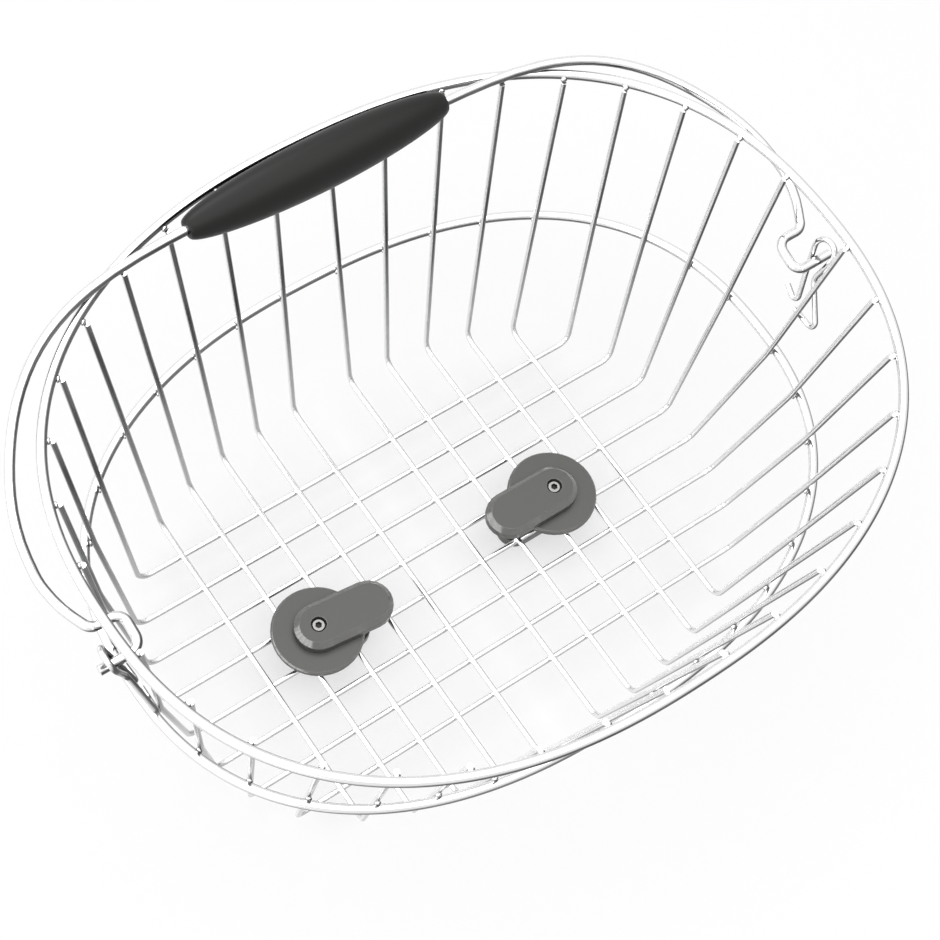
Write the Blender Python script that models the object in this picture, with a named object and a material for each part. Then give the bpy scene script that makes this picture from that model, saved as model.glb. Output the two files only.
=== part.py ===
"""Oval wire basket with a swinging carry handle, held on a bicycle rack by two turn-lever clamps.

Lengths are in metres. +X is the rider's left, +Y the bicycle's rear and +Z up. The origin is midway
between the two rack rods, on the plane where the rods' tops meet the basket's floor.
"""
from collections import namedtuple
from math import acos, atan2, ceil, cos, pi, radians, sin, tan

import bmesh
import bpy
import numpy as np
from mathutils import Matrix, Vector

Ring = namedtuple("Ring", "half_x half_y power z")

# Wire sizes, and the gaps that stand for the welds and the seats
WIRE_D = 0.003
RING_D = 0.005
BAIL_D = 0.005
EYE_WIRE_D = 0.003
WELD_GAP = 0.0005
SEAT_GAP = 0.0003

# Floor grid: wires counted in pairs about the middle
LONG_PAIRS = 5
LONG_PITCH = 0.0245
LONG_MIDDLE_GAP = 0.0375
CROSS_PAIRS = 4
CROSS_PITCH = 0.022

# Ovals of the floor's bends and of the two rings, measured on the wire's centre line
FLOOR_HALF_X = 0.166
FLOOR_HALF_Y = 0.1185
FLOOR_POWER = 2.6
MID_HALF_X = 0.193
MID_HALF_Y = 0.143
MID_POWER = 2.33
MID_Z = 0.093
RIM_HALF_X = 0.206
RIM_HALF_Y = 0.165
RIM_POWER = 2.32
RIM_Z = 0.1925
TIP_DROP = 0.0008
FLOOR_BEND_R = 0.008
WALL_BEND_R = 0.060
PIVOT_GAP_RATIO = 1.5
MIDDLE_REACH = 2.0

# Carry handle: one flat bent wire, which toes in under the rim and hooks out through the eyes
PIVOT_DROP = 0.034
PIVOT_FRONT = 0.0105
BAIL_SIDE_GAP = 0.0225
BAIL_REAR_POWER = 5.3
BAIL_SIDE_POWER = 1.3
BAIL_TOE = 0.028
BAIL_TOE_REACH = 0.090
BAIL_LEG = 0.036
BAIL_LEG_R = 0.030
HOOK_BACK = 0.0175
HOOK_TURN_OUT = 0.0063
HOOK_REACH = 0.0097
HOOK_TIP = 0.0123
HOOK_R = 0.0060
GRIP_SET_IN = 0.0205
GRIP_LENGTH = 0.148
GRIP_D = 0.027
GRIP_END_D = 0.0095
GRIP_SWELL = 0.62
GRIP_LIP = 0.0012

# Handle eyes: each stands by the upright in front of the middle
EYE_STAND_OFF = 0.006
EYE_ROUND_R = 0.0064
EYE_RISE = 0.006
EYE_LEAN = 0.0015
EYE_NECK_DROP = 0.0095
EYE_NECK_GAP = 0.0030
EYE_NECK_R = 0.006
EYE_FOOT_DROP = 0.031
EYE_FOOT_REACH = 0.014
EYE_FOOT_LAP = 0.004
EYE_LEG_DROP = 0.029
EYE_LEG_OFF = 0.0045
EYE_TAIL = 0.011
EYE_TAIL_RISE = 0.005
EYE_FOOT_R = 0.003

# Clamps: the grid cell that each screw stands in, counted from the middle, and its shift in that cell
CLAMP_CELL = 2
LEFT_CLAMP_SHIFT = -0.0060
RIGHT_CLAMP_SHIFT = -0.0005
LEFT_CLAMP_TURN = radians(180.0)
RIGHT_CLAMP_TURN = radians(-6.0)
ROD_SLOT = 0.008
DISC_D = 0.050
DISC_T = 0.0042
DISC_EDGE = 0.0011
LEVER_W = 0.0265
LEVER_CENTRES = 0.0300
LEVER_T = 0.0075
LEVER_EDGE = 0.0030
POST_D = 0.008
POST_FLATS = 0.006
POST_KEY_DEPTH = 0.0022
CLAW_W = 0.020
CLAW_CENTRES = 0.022
CLAW_T = 0.008
CLAW_EDGE = 0.0012
CLAW_WALL = 0.0024
CLAW_HOLLOW = 0.0050
CLAW_GROOVES = 4
CLAW_GROOVE_PITCH = 0.0055
CLAW_GROOVE_W = 0.0012
CLAW_GROOVE_DEPTH = 0.0007
SCREW_D = 0.004
SCREW_HEAD_D = 0.007
SCREW_HEAD_T = 0.0028
SCREW_SINK = 0.0012
SCREW_RECESS_D = 0.0086
SCREW_CHAMFER = 0.0003
HEX_KEY = 0.003
HEX_KEY_DEPTH = 0.0016
NUT_FLATS = 0.007
NUT_T = 0.0032

# Fineness of the facets
RING_POINTS = 88
DENSE_POINTS = 1440
ARC_STEP = radians(23.0)
BAIL_ARC_POINTS = 41
WIRE_SIDES = 8
GRIP_STATIONS = 18
GRIP_SIDES = 16
DISC_SIDES = 44
HALF_ROUND_STEPS = 12
SCREW_SIDES = 16
POST_SIDES = 20
HEX = 6
BISECT_STEPS = 40
REST_POINTS = 360
EDGE_SEGMENTS = 2
SHARP_ANGLE = radians(40.0)
MERGE = 1e-6

# Places that follow from the sizes above
CROSS_Z = WIRE_D / 2
LONG_Z = CROSS_Z + WIRE_D + WELD_GAP
FLOOR_TOP = LONG_Z + WIRE_D / 2
UPRIGHT_SEAT = (WIRE_D + RING_D) / 2 + WELD_GAP
FLOOR = Ring(FLOOR_HALF_X, FLOOR_HALF_Y, FLOOR_POWER, CROSS_Z)
MID = Ring(MID_HALF_X, MID_HALF_Y, MID_POWER, MID_Z)
RIM = Ring(RIM_HALF_X, RIM_HALF_Y, RIM_POWER, RIM_Z)
PIVOT = Vector((0.0, -PIVOT_FRONT, RIM_Z - PIVOT_DROP))
BAIL_HALF_X = RIM_HALF_X + (RING_D + BAIL_D) / 2 + BAIL_SIDE_GAP
GRIP_Y = RIM_HALF_Y - GRIP_SET_IN
DISC_Z = FLOOR_TOP + SEAT_GAP
LEVER_Z = DISC_Z + DISC_T + SEAT_GAP
LEVER_TOP = LEVER_Z + LEVER_T
HEAD_SEAT_Z = LEVER_TOP - SCREW_SINK - SCREW_HEAD_T
CLAW_TOP = -ROD_SLOT
CLAW_BOTTOM = CLAW_TOP - CLAW_T
POST_TOP = LEVER_Z + POST_KEY_DEPTH - SEAT_GAP
NUT_Z = CLAW_BOTTOM + SEAT_GAP
SIDES = (
    ("left", 1.0, LEFT_CLAMP_SHIFT, LEFT_CLAMP_TURN),
    ("right", -1.0, RIGHT_CLAMP_SHIFT, RIGHT_CLAMP_TURN),
)


def material(name, colour, metallic, roughness):
    """A Principled material in one colour."""
    made = bpy.data.materials.new(name)
    made.use_nodes = True
    shader = made.node_tree.nodes["Principled BSDF"]
    shader.inputs["Base Color"].default_value = (*colour, 1.0)
    shader.inputs["Metallic"].default_value = metallic
    shader.inputs["Roughness"].default_value = roughness
    return made


def place(name, data, finish, parent=None):
    """Link one named piece, with its finish, under an empty where it has one."""
    piece = bpy.data.objects.new(name, data)
    if not data.materials:
        data.materials.append(finish)
    bpy.context.scene.collection.objects.link(piece)
    piece.parent = parent
    return piece


def axis_empty(name, location, turn=0.0):
    """An empty on a joint's axis, which carries the pieces that turn about it."""
    empty = bpy.data.objects.new(name, None)
    empty.location = location
    empty.rotation_euler = (0.0, 0.0, turn)
    bpy.context.scene.collection.objects.link(empty)
    return empty


def resample(points, count, closed):
    """Points spaced evenly along a polyline."""
    path = np.vstack([points, points[:1]]) if closed else np.asarray(points)
    reach = np.r_[0.0, np.cumsum(np.linalg.norm(np.diff(path, axis=0), axis=1))]
    at = np.linspace(0.0, reach[-1], count, endpoint=not closed)
    return np.stack([np.interp(at, reach, path[:, k]) for k in range(path.shape[1])], axis=1)


def oval(ring, count):
    """A ring's outline as even points, counter-clockwise from +X."""
    angle = np.linspace(0.0, 2.0 * pi, DENSE_POINTS, endpoint=False)
    c, s = np.cos(angle), np.sin(angle)
    x = ring.half_x * np.sign(c) * np.abs(c) ** (2.0 / ring.power)
    y = ring.half_y * np.sign(s) * np.abs(s) ** (2.0 / ring.power)
    return resample(np.c_[x, y], count, closed=True)


def oval_reach(along, half_along, half_across, power):
    """Half width of an oval at a distance along its other axis."""
    return half_across * (1.0 - (along / half_along) ** power) ** (1.0 / power)


def quarter_point(loop, distance, inset):
    """The point at an arc length from +X towards +Y, moved inwards from the loop."""
    quarter = loop[: len(loop) // 4 + 2]
    reach = np.r_[0.0, np.cumsum(np.linalg.norm(np.diff(quarter, axis=0), axis=1))]
    k = min(int(np.searchsorted(reach, distance, side="right")) - 1, len(quarter) - 2)
    step = quarter[k + 1] - quarter[k]
    step /= np.linalg.norm(step)
    inward = np.array([-step[1], step[0]])
    return quarter[k] + step * (distance - reach[k]) + inward * inset


def depth_inside(point, loop, ring):
    """How far a plan point lies inside a loop; negative outside it."""
    start = loop
    run = np.roll(loop, -1, axis=0) - start
    share = np.clip(((point - start) * run).sum(1) / (run ** 2).sum(1), 0.0, 1.0)
    gap = np.linalg.norm(start + run * share[:, None] - point, axis=1).min()
    level = abs(point[0] / ring.half_x) ** ring.power + abs(point[1] / ring.half_y) ** ring.power
    return gap if level < 1.0 else -gap


def fillet_path(points, radii):
    """A path through corner points, with an arc of the given radius at each inner corner."""
    path = [points[0]]
    for before, corner, after, radius in zip(points, points[1:], points[2:], radii):
        back = before - corner
        ahead = after - corner
        turn = pi - back.angle(ahead)
        room = min(back.length, ahead.length) / 2.0
        tangent = min(radius * tan(turn / 2.0), room)
        enter = corner + back.normalized() * tangent
        leave = corner + ahead.normalized() * tangent
        steps = max(1, ceil(turn / ARC_STEP))
        bisector = (back.normalized() + ahead.normalized()).normalized()
        centre = corner + bisector * (tangent / cos(pi / 2.0 - turn / 2.0))
        spin_axis = (enter - centre).cross(leave - centre)
        for k in range(steps + 1):
            swing = Matrix.Rotation(turn * k / steps, 3, spin_axis)
            path.append(centre + swing @ (enter - centre))
    path.append(points[-1])
    return path


def wire(name, points, diameter, finish, parent=None, closed=False):
    """A round wire along a path, closed into a ring or with flat ends."""
    curve = bpy.data.curves.new(name, "CURVE")
    curve.dimensions = "3D"
    curve.bevel_depth = diameter / 2.0
    curve.bevel_resolution = (WIRE_SIDES - 4) // 2
    curve.use_fill_caps = True
    spline = curve.splines.new("POLY")
    spline.points.add(len(points) - 1)
    for spot, point in zip(spline.points, points):
        spot.co = (*point, 1.0)
    spline.use_cyclic_u = closed
    return place(name, curve, finish, parent)


def upright(bend, tip):
    """Bend, middle and tip of one wall upright, which lies inside both rings in one upright plane."""
    low, high = np.array(bend[:2]), np.array(tip)
    near, far = 0.0, MIDDLE_REACH
    for _ in range(BISECT_STEPS):
        share = (near + far) / 2.0
        if depth_inside(low + (high - low) * share, MID_LOOP, MID) > UPRIGHT_SEAT:
            near = share
        else:
            far = share
    middle = low + (high - low) * near
    return [Vector(bend), Vector((*middle, MID_Z)), Vector((*tip, RIM_Z - TIP_DROP))]


def u_wire(bend, tip, mirror):
    """One bent wire from tip to tip: an upright, the floor run and the mirrored upright."""
    side = upright(bend, tip)
    other = [point * mirror for point in side]
    corners = [*reversed(side), *other]
    radii = (WALL_BEND_R, FLOOR_BEND_R, FLOOR_BEND_R, WALL_BEND_R)
    return fillet_path(corners, radii)


def cross_wire_y(pair):
    """Distance of a cross wire from the middle."""
    return (pair + 0.5) * CROSS_PITCH


def long_wire_x(pair):
    """Distance of a long wire from the middle."""
    return LONG_MIDDLE_GAP / 2.0 + pair * LONG_PITCH


def upright_tips():
    """Tips of one quarter of the uprights, evenly along the rim but for a wider gap at the pivots."""
    quarter = np.linalg.norm(np.diff(RIM_LOOP[: RING_POINTS // 4 + 1], axis=0), axis=1).sum()
    pitch = quarter / (LONG_PAIRS + CROSS_PAIRS - 0.5 + PIVOT_GAP_RATIO / 2.0)
    first = PIVOT_GAP_RATIO * pitch / 2.0
    cross = [quarter_point(RIM_LOOP, first + k * pitch, UPRIGHT_SEAT) for k in range(CROSS_PAIRS)]
    long = [quarter_point(RIM_LOOP, quarter - (k + 0.5) * pitch, UPRIGHT_SEAT) for k in range(LONG_PAIRS)]
    return cross, long


def build_floor_and_walls(finish):
    """The cross wires, the long wires on top of them, and the two rings outside their uprights."""
    cross_tips, long_tips = upright_tips()
    for pair, tip in enumerate(cross_tips):
        y = cross_wire_y(pair)
        bend = (oval_reach(y, FLOOR.half_y, FLOOR.half_x, FLOOR.power), y, CROSS_Z)
        path = u_wire(bend, tip, Vector((-1.0, 1.0, 1.0)))
        front = [point * Vector((1.0, -1.0, 1.0)) for point in path]
        wire(f"cross_wire_{CROSS_PAIRS - pair}", path, WIRE_D, finish)
        wire(f"cross_wire_{CROSS_PAIRS + 1 + pair}", front, WIRE_D, finish)
    for pair, tip in enumerate(long_tips):
        x = long_wire_x(pair)
        bend = (x, oval_reach(x, FLOOR.half_x, FLOOR.half_y, FLOOR.power), LONG_Z)
        path = u_wire(bend, tip, Vector((1.0, -1.0, 1.0)))
        other = [point * Vector((-1.0, 1.0, 1.0)) for point in path]
        wire(f"long_wire_{LONG_PAIRS - pair}", other, WIRE_D, finish)
        wire(f"long_wire_{LONG_PAIRS + 1 + pair}", path, WIRE_D, finish)
    for name, loop, ring in (("rim_ring", RIM_LOOP, RIM), ("mid_ring", MID_LOOP, MID)):
        wire(name, [(*point, ring.z) for point in loop], RING_D, finish, closed=True)


def wall_x(z):
    """Half width of the wall's ring surface at the pivots, at a height."""
    return MID_HALF_X + (RIM_HALF_X - MID_HALF_X) * (z - MID_Z) / (RIM_Z - MID_Z)


def pivot_upright_y(z):
    """Distance from the middle of the uprights beside the pivots, at a height."""
    cross_tips, _ = upright_tips()
    y = cross_wire_y(0)
    bend = (oval_reach(y, FLOOR.half_y, FLOOR.half_x, FLOOR.power), y, CROSS_Z)
    _, middle, tip = upright(bend, cross_tips[0])
    return middle.y + (tip.y - middle.y) * (z - middle.z) / (tip.z - middle.z)


def eye_loop(rear_neck, front_neck):
    """The round of an eye over the pivot, from its rear tangent over the top to its front tangent."""
    centre = Vector((0.0, EYE_RISE, 0.0))
    rear, front = rear_neck - centre, front_neck - centre
    first = atan2(rear.y, rear.x) - acos(EYE_ROUND_R / rear.length)
    last = atan2(front.y, front.x) + acos(EYE_ROUND_R / front.length) - 2 * pi
    steps = ceil((first - last) / ARC_STEP)
    angles = [first + (last - first) * k / steps for k in range(steps + 1)]
    return [centre + EYE_ROUND_R * Vector((cos(a), sin(a), 0.0)) for a in angles]


def eye_x(rise):
    """Distance of an eye's wire from the middle: on the uprights at its feet, standing off at the pivot."""
    seat = (WIRE_D + EYE_WIRE_D) / 2 + WELD_GAP - UPRIGHT_SEAT
    stand_off = EYE_STAND_OFF * max(0.0, 1.0 + rise / EYE_LEG_DROP)
    return wall_x(PIVOT.z + rise) + seat + stand_off


def eye_path():
    """The left eye's wire: tail, rear leg, neck, round, neck, front leg and the foot on its upright."""
    half_neck = (EYE_WIRE_D + EYE_NECK_GAP) / 2
    rear_neck = Vector((EYE_LEAN - half_neck, -EYE_NECK_DROP, 0.0))
    front_neck = Vector((EYE_LEAN + half_neck, -EYE_NECK_DROP, 0.0))
    loop = eye_loop(rear_neck, front_neck)
    beside = pivot_upright_y(PIVOT.z - EYE_LEG_DROP) - PIVOT_FRONT - EYE_LEG_OFF
    upright_at = pivot_upright_y(PIVOT.z - EYE_FOOT_DROP) - PIVOT_FRONT
    rear = [
        Vector((beside - EYE_TAIL, EYE_TAIL_RISE - EYE_LEG_DROP, 0.0)),
        Vector((beside, -EYE_LEG_DROP, 0.0)),
        rear_neck,
        loop[0],
    ]
    front = [
        loop[-1],
        front_neck,
        Vector((upright_at + EYE_FOOT_REACH, -EYE_FOOT_DROP, 0.0)),
        Vector((upright_at - EYE_FOOT_LAP, -EYE_FOOT_DROP, 0.0)),
    ]
    flat = fillet_path(rear, (EYE_FOOT_R, EYE_NECK_R))
    flat += loop[1:-1]
    flat += fillet_path(front, (EYE_NECK_R, EYE_FOOT_R))
    return [Vector((eye_x(p.y), PIVOT.y - p.x, PIVOT.z + p.y)) for p in flat]


def build_handle_eyes(finish):
    """The bent-wire eyes under the rim that carry the bail's hooks."""
    path = eye_path()
    for side, sign, _, _ in SIDES:
        mirrored = [Vector((sign * p.x, p.y, p.z)) for p in path]
        wire(f"{side}_handle_eye", mirrored, EYE_WIRE_D, finish)


def bail_arc(grip_z):
    """The bail's flat sweep round the rear, from its left leg to its right leg."""
    angle = np.linspace(0.0, pi, DENSE_POINTS)
    c, s = np.cos(angle), np.sin(angle)
    reach = GRIP_Y - PIVOT.y
    behind = reach * np.abs(s) ** (2.0 / BAIL_SIDE_POWER)
    toe = BAIL_TOE * np.clip(1.0 - behind / BAIL_TOE_REACH, 0.0, None) ** 2
    x = np.sign(c) * (BAIL_HALF_X * np.abs(c) ** (2.0 / BAIL_REAR_POWER) - toe)
    z = PIVOT.z + (grip_z - PIVOT.z) * behind / reach
    return np.c_[x, PIVOT.y + behind, z][behind > BAIL_LEG]


def bail_end(sweep, sign):
    """One end of the bail in the sweep's plane: in under the rim, round and out through the eye."""
    slope = (sweep[0].z - PIVOT.z) / (sweep[0].y - PIVOT.y)
    wall = wall_x(PIVOT.z)
    rear = PIVOT + HOOK_BACK * Vector((0.0, 1.0, slope))
    corners = [
        sweep[1],
        sweep[0],
        rear + Vector((sign * (wall + HOOK_TURN_OUT), 0.0, 0.0)),
        rear + Vector((sign * (wall - HOOK_REACH), 0.0, 0.0)),
        PIVOT + Vector((sign * (wall - HOOK_REACH), 0.0, 0.0)),
        PIVOT + Vector((sign * (wall + HOOK_TIP), 0.0, 0.0)),
    ]
    return fillet_path(corners, (BAIL_LEG_R, HOOK_R, HOOK_R, HOOK_R))


def build_bail(finish, parent, grip_z):
    """The carry handle's wire, hooked into both eyes and folded back over the rear rim."""
    sweep = [Vector(point) for point in resample(bail_arc(grip_z), BAIL_ARC_POINTS, closed=False)]
    left = bail_end(sweep, 1.0)
    right = bail_end(sweep[::-1], -1.0)
    path = [*reversed(left), *sweep[2:-2], *right]
    return wire("handle_bail", [point - PIVOT for point in path], BAIL_D, finish, parent)


def grip_line(grip_z):
    """Even stations along the stretch of the bail that the grip covers."""
    arc = bail_arc(grip_z)
    on_grip = arc[np.abs(arc[:, 0]) <= GRIP_LENGTH / 2.0]
    return resample(on_grip, GRIP_STATIONS + 1, closed=False)


def handle_clearance(grip_z):
    """Least gap of the folded handle to the rim and the uprights' tips, with the grip at a height."""
    grip = grip_line(grip_z)
    bail = resample(bail_arc(grip_z), REST_POINTS, closed=False)
    radii = np.array([grip_radius(k / GRIP_STATIONS) for k in range(GRIP_STATIONS + 1)])
    rim = resample(np.c_[RIM_LOOP, np.full(RING_POINTS, RIM_Z)], DENSE_POINTS, closed=True)
    _, long_tips = upright_tips()
    tips = np.array([(sign * x, y, RIM_Z - TIP_DROP) for x, y in long_tips for sign in (1.0, -1.0)])
    gaps = []
    for line, thick in ((grip, radii), (bail, BAIL_D / 2)):
        for points, thin in ((rim, RING_D / 2), (tips, WIRE_D / 2)):
            reach = np.linalg.norm(line[:, None] - points[None], axis=2).min(axis=1)
            gaps.append((reach - thick).min() - thin)
    return min(gaps)


def resting_height():
    """Height of the grip's middle where the folded handle comes to rest on the rim."""
    low, high = RIM_Z, RIM_Z + GRIP_D + RING_D
    for _ in range(BISECT_STEPS):
        middle = (low + high) / 2.0
        if handle_clearance(middle) < SEAT_GAP:
            low = middle
        else:
            high = middle
    return high


def grip_radius(share):
    """Outside radius of the grip at a share of its length: a spindle with rounded end lips."""
    swell = (4.0 * share * (1.0 - share)) ** GRIP_SWELL
    return (GRIP_END_D + (GRIP_D - GRIP_END_D) * swell) / 2.0


def build_grip(finish, parent, grip_z):
    """A soft spindle sleeve, bored for the bail and bent with it."""
    line = grip_line(grip_z) - np.array(PIVOT)
    tangents = np.gradient(line, axis=0)
    bore = BAIL_D / 2 + SEAT_GAP
    mesh = bmesh.new()
    rings = []
    stations = list(range(GRIP_STATIONS + 1))
    outer = [(k, grip_radius(k / GRIP_STATIONS)) for k in stations]
    outer[0] = (0, GRIP_END_D / 2.0 - GRIP_LIP)
    outer[-1] = (GRIP_STATIONS, GRIP_END_D / 2.0 - GRIP_LIP)
    for k, radius in outer + [(k, bore) for k in reversed(stations)]:
        along = Vector(tangents[k]).normalized()
        across = along.cross(Vector((0.0, 0.0, 1.0))).normalized()
        up = across.cross(along)
        angles = [2.0 * pi * n / GRIP_SIDES for n in range(GRIP_SIDES)]
        spokes = [(across * cos(a) + up * sin(a)) * radius for a in angles]
        rings.append([mesh.verts.new(Vector(line[k]) + spoke) for spoke in spokes])
    for this, following in zip(rings, rings[1:] + rings[:1]):
        for n in range(GRIP_SIDES):
            m = (n + 1) % GRIP_SIDES
            mesh.faces.new((this[n], this[m], following[m], following[n]))
    return place("handle_grip", finished_mesh(mesh, "handle_grip"), finish, parent)


def finished_mesh(mesh, name):
    """Close a bmesh into a smooth-shaded mesh with its faces pointing out."""
    bmesh.ops.remove_doubles(mesh, verts=mesh.verts, dist=MERGE)
    bmesh.ops.recalc_face_normals(mesh, faces=mesh.faces)
    data = bpy.data.meshes.new(name)
    mesh.to_mesh(data)
    mesh.free()
    data.shade_smooth()
    data.set_sharp_from_angle(angle=SHARP_ANGLE)
    return data


def turned(name, profile, sides, closed):
    """A solid turned about Z from points (radius, height)."""
    mesh = bmesh.new()
    verts = [mesh.verts.new((radius, 0.0, height)) for radius, height in profile]
    pairs = list(zip(verts, verts[1:] + (verts[:1] if closed else [])))
    edges = [mesh.edges.new(pair) for pair in pairs]
    bmesh.ops.spin(mesh, geom=verts + edges, axis=(0, 0, 1), cent=(0, 0, 0), angle=2 * pi,
                   steps=sides, use_merge=True)
    return finished_mesh(mesh, name)


def stadium(width, centres):
    """Outline of a slot shape along +X whose first end is round about the origin."""
    radius = width / 2.0
    turns = [pi * k / HALF_ROUND_STEPS for k in range(HALF_ROUND_STEPS + 1)]
    near = [(radius * cos(a + pi / 2), radius * sin(a + pi / 2)) for a in turns]
    far = [(centres + radius * cos(a - pi / 2), radius * sin(a - pi / 2)) for a in turns]
    return near + far


def polygon(sides, flats, turn=0.0):
    """Outline of a regular polygon by its size across flats."""
    radius = flats / 2.0 / cos(pi / sides)
    return [(radius * cos(2 * pi * k / sides + turn), radius * sin(2 * pi * k / sides + turn))
            for k in range(sides)]


def circle(sides, diameter):
    """Outline of a circle."""
    return polygon(sides, diameter * cos(pi / sides))


def prism(name, outline, low, high, top_edge=0.0, bottom_edge=0.0):
    """A solid of an outline between two heights, with rounded top or bottom edges where asked."""
    mesh = bmesh.new()
    base = mesh.faces.new([mesh.verts.new((x, y, low)) for x, y in outline])
    top = bmesh.ops.extrude_face_region(mesh, geom=[base])["geom"]
    raised = [item for item in top if isinstance(item, bmesh.types.BMVert)]
    bmesh.ops.translate(mesh, verts=raised, vec=(0.0, 0.0, high - low))
    for height, width in ((high, top_edge), (low, bottom_edge)):
        if width:
            rim = [edge for edge in mesh.edges if all(abs(v.co.z - height) < MERGE for v in edge.verts)]
            bmesh.ops.bevel(mesh, geom=rim, offset=width, segments=EDGE_SEGMENTS, profile=0.5, affect="EDGES")
    return finished_mesh(mesh, name)


def box(name, low, high):
    """A cutter block between two corners."""
    outline = [(low[0], low[1]), (high[0], low[1]), (high[0], high[1]), (low[0], high[1])]
    return prism(name, outline, low[2], high[2])


def carved(name, body, cutters, joined=()):
    """A body with other meshes joined to it and cutters taken out of it."""
    host = bpy.data.objects.new(name, body)
    bpy.context.scene.collection.objects.link(host)
    helpers = [host]
    for operation, meshes in (("UNION", joined), ("DIFFERENCE", cutters)):
        for data in meshes:
            helper = bpy.data.objects.new(data.name, data)
            bpy.context.scene.collection.objects.link(helper)
            helpers.append(helper)
            change = host.modifiers.new(operation, "BOOLEAN")
            change.operation = operation
            change.solver = "EXACT"
            change.object = helper
    seen = host.evaluated_get(bpy.context.evaluated_depsgraph_get())
    mesh = bmesh.new()
    mesh.from_mesh(seen.to_mesh())
    for helper in helpers:
        bpy.data.objects.remove(helper)
    return finished_mesh(mesh, name)


def disc_mesh():
    """The clamp's round plate, bored for the claw's post."""
    bore = POST_D / 2 + SEAT_GAP
    radius = DISC_D / 2
    top = DISC_Z + DISC_T
    profile = [
        (bore, DISC_Z), (radius - DISC_EDGE, DISC_Z), (radius, DISC_Z + DISC_EDGE),
        (radius, top - DISC_EDGE), (radius - DISC_EDGE, top), (bore, top),
    ]
    return turned("clamp_disc", profile, DISC_SIDES, closed=True)


def double_d(diameter, flats):
    """Outline of a round post with two flats, facing +Y and -Y."""
    radius, half = diameter / 2.0, flats / 2.0
    edge = acos(half / radius)
    steps = POST_SIDES // 4
    right = [pi / 2 - edge - (pi - 2 * edge) * k / steps for k in range(steps + 1)]
    angles = right + [a + pi for a in right]
    return [(radius * cos(a), radius * sin(a)) for a in reversed(angles)]


def lever_mesh():
    """The turn lever: a round-ended bar with a sunk screw and a keyed socket below."""
    reach = LEVER_TOP + LEVER_T
    body = prism("clamp_lever", stadium(LEVER_W, LEVER_CENTRES), LEVER_Z, LEVER_TOP, top_edge=LEVER_EDGE)
    hole, recess = SCREW_D / 2 + SEAT_GAP, SCREW_RECESS_D / 2
    seat = HEAD_SEAT_Z - SEAT_GAP
    steps = [(0.0, 0.0), (hole, 0.0), (hole, seat), (recess, seat), (recess, reach), (0.0, reach)]
    bore = turned("stepped_bore", steps, SCREW_SIDES, closed=False)
    key = double_d(POST_D + 2 * SEAT_GAP, POST_FLATS + 2 * SEAT_GAP)
    socket = prism("key_socket", key, 0.0, LEVER_Z + POST_KEY_DEPTH)
    return carved("clamp_lever", body, (socket, bore))


def claw_mesh():
    """The dog under the floor: a ribbed arm with a hollow underside, and a keyed post through the floor."""
    below = CLAW_BOTTOM - CLAW_T
    arm = prism("claw_arm", stadium(CLAW_W, CLAW_CENTRES), CLAW_BOTTOM, CLAW_TOP, bottom_edge=CLAW_EDGE)
    post = prism("claw_post", circle(POST_SIDES, POST_D), CLAW_TOP - CLAW_T / 2, LEVER_Z - SEAT_GAP)
    key = prism("claw_key", double_d(POST_D, POST_FLATS), CLAW_TOP, POST_TOP)
    shank = prism("claw_bore", circle(SCREW_SIDES, SCREW_D + 2 * SEAT_GAP), below, POST_TOP + CLAW_T)
    nut_room = polygon(HEX, NUT_FLATS + 2 * SEAT_GAP)
    pocket = prism("nut_pocket", nut_room, below, NUT_Z + NUT_T + SEAT_GAP)
    hub = NUT_FLATS / 2 / cos(pi / HEX) + SEAT_GAP + CLAW_WALL
    hollow_w = CLAW_W - 2 * CLAW_WALL
    hollow_shape = stadium(hollow_w, CLAW_CENTRES - hub - hollow_w / 2)
    hollow = prism("claw_hollow", hollow_shape, below, CLAW_BOTTOM + CLAW_HOLLOW)
    hollow.transform(Matrix.Translation((hub + hollow_w / 2, 0.0, 0.0)))
    cutters = [shank, pocket, hollow]
    for k in range(CLAW_GROOVES):
        x = POST_D + k * CLAW_GROOVE_PITCH
        low = (x, -CLAW_W, CLAW_TOP - CLAW_GROOVE_DEPTH)
        cutters.append(box("claw_groove", low, (x + CLAW_GROOVE_W, CLAW_W, CLAW_TOP + CLAW_T)))
    return carved("clamp_claw", arm, cutters, joined=(post, key))


def screw_mesh():
    """The socket-head screw that draws the claw up to the lever."""
    head, shank = SCREW_HEAD_D / 2, SCREW_D / 2
    top = HEAD_SEAT_Z + SCREW_HEAD_T
    profile = [
        (0.0, NUT_Z), (shank - SCREW_CHAMFER, NUT_Z), (shank, NUT_Z + SCREW_CHAMFER),
        (shank, HEAD_SEAT_Z), (head, HEAD_SEAT_Z), (head, top - SCREW_CHAMFER),
        (head - SCREW_CHAMFER, top), (0.0, top),
    ]
    body = turned("clamp_screw", profile, SCREW_SIDES, closed=False)
    socket = prism("screw_socket", polygon(HEX, HEX_KEY), top - HEX_KEY_DEPTH, top + SCREW_HEAD_T)
    return carved("clamp_screw", body, (socket,))


def nut_mesh():
    """The hexagon nut in the claw's underside."""
    body = prism("clamp_nut", polygon(HEX, NUT_FLATS), NUT_Z, NUT_Z + NUT_T)
    bore = prism("nut_bore", circle(SCREW_SIDES, SCREW_D + 2 * SEAT_GAP), NUT_Z - NUT_T, NUT_Z + 2 * NUT_T)
    return carved("clamp_nut", body, (bore,))


def clamp_place(sign, shift):
    """Where a clamp's screw stands: in a cell of the floor grid on one side, moved by its shift."""
    cell = (long_wire_x(CLAMP_CELL) + long_wire_x(CLAMP_CELL + 1)) / 2.0
    return Vector((sign * cell + shift, 0.0, 0.0))


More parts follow.
